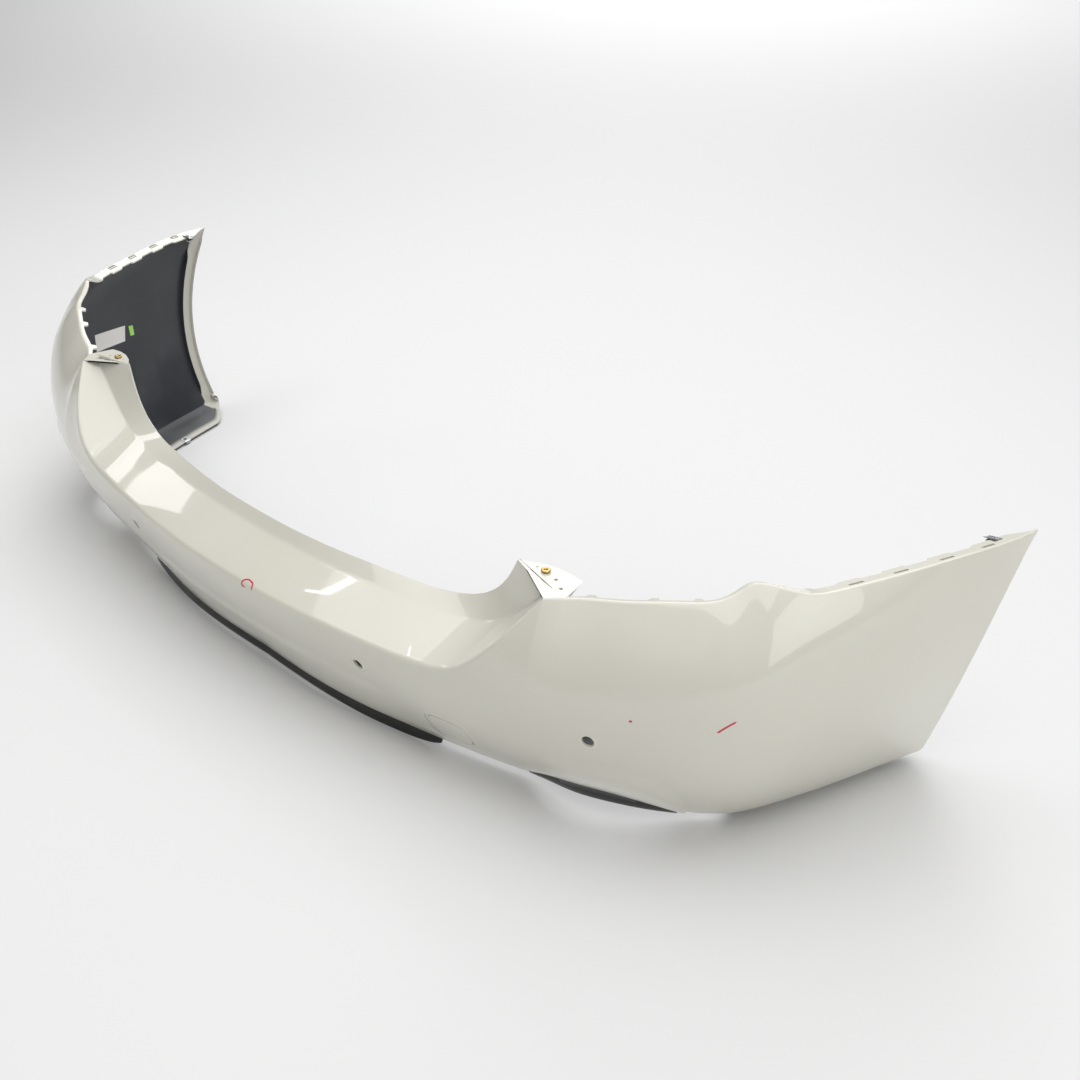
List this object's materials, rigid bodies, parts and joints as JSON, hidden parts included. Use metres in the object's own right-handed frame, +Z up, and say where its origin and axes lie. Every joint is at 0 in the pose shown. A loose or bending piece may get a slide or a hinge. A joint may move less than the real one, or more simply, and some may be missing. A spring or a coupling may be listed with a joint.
{
  "type": "bumper cover",
  "caption": "Painted rear bumper cover off a saloon car, with wrap-round wings, boot step, lamp cut-outs, black lower trims, towing-eye cap, sensor holders and clips.",
  "frame": {"origin": "midway between the sides and between the rear face and the wing tips, at the height of the surface that the part stands on", "axes": "+X to the right as seen from behind the car, +Y forward into the car, +Z up; the part is mirror-symmetric about X = 0 apart from the towing-eye cap and its hole"},
  "size_m": [1.8336, 0.6042, 0.3711],
  "materials": {
    "paint": "gloss pearl-white paint over moulded polypropylene",
    "black_plastic": "fine-grained black moulding",
    "grey_plastic": "satin dark grey moulding",
    "insert_zinc": "yellow-passivated zinc plating",
    "steel": "plain zinc-plated steel"
  },
  "bodies": {
    "cover": {"centre_lower_trim": "black_plastic", "centre_trim_a_nut": "steel", "centre_trim_a_screw": "steel", "centre_trim_b_nut": "steel", "centre_trim_b_screw": "steel", "centre_trim_c_nut": "steel", "centre_trim_c_screw": "steel", "centre_trim_d_nut": "steel", "centre_trim_d_screw": "steel", "centre_trim_e_nut": "steel", "centre_trim_e_screw": "steel", "cover_skin": "paint", "exhaust_trim_left": "black_plastic", "exhaust_trim_left_inner_nut": "steel", "exhaust_trim_left_inner_screw": "steel", "exhaust_trim_left_outer_nut": "steel", "exhaust_trim_left_outer_screw": "steel", "exhaust_trim_right": "black_plastic", "exhaust_trim_right_inner_nut": "steel", "exhaust_trim_right_inner_screw": "steel", "exhaust_trim_right_outer_nut": "steel", "exhaust_trim_right_outer_screw": "steel", "horn_insert_left": "insert_zinc", "horn_insert_right": "insert_zinc", "sensor_holder_inner_left": "grey_plastic", "sensor_holder_inner_right": "grey_plastic", "sensor_holder_outer_left": "grey_plastic", "sensor_holder_outer_right": "grey_plastic", "shelf_clip_left": "steel", "shelf_clip_right": "steel", "wing_clip_left": "steel", "wing_clip_right": "steel"},
    "tow_cap": {"tow_eye_cap": "paint"}
  },
  "joints": [
    {"name": "cap_swing", "type": "hinge", "parent": "cover", "child": "tow_cap", "pos_m": [0.38287, -0.24083, 0.07669], "axis": [-0.0739, 0.4843, -0.8718], "range_deg": [0, 70]}
  ]
}
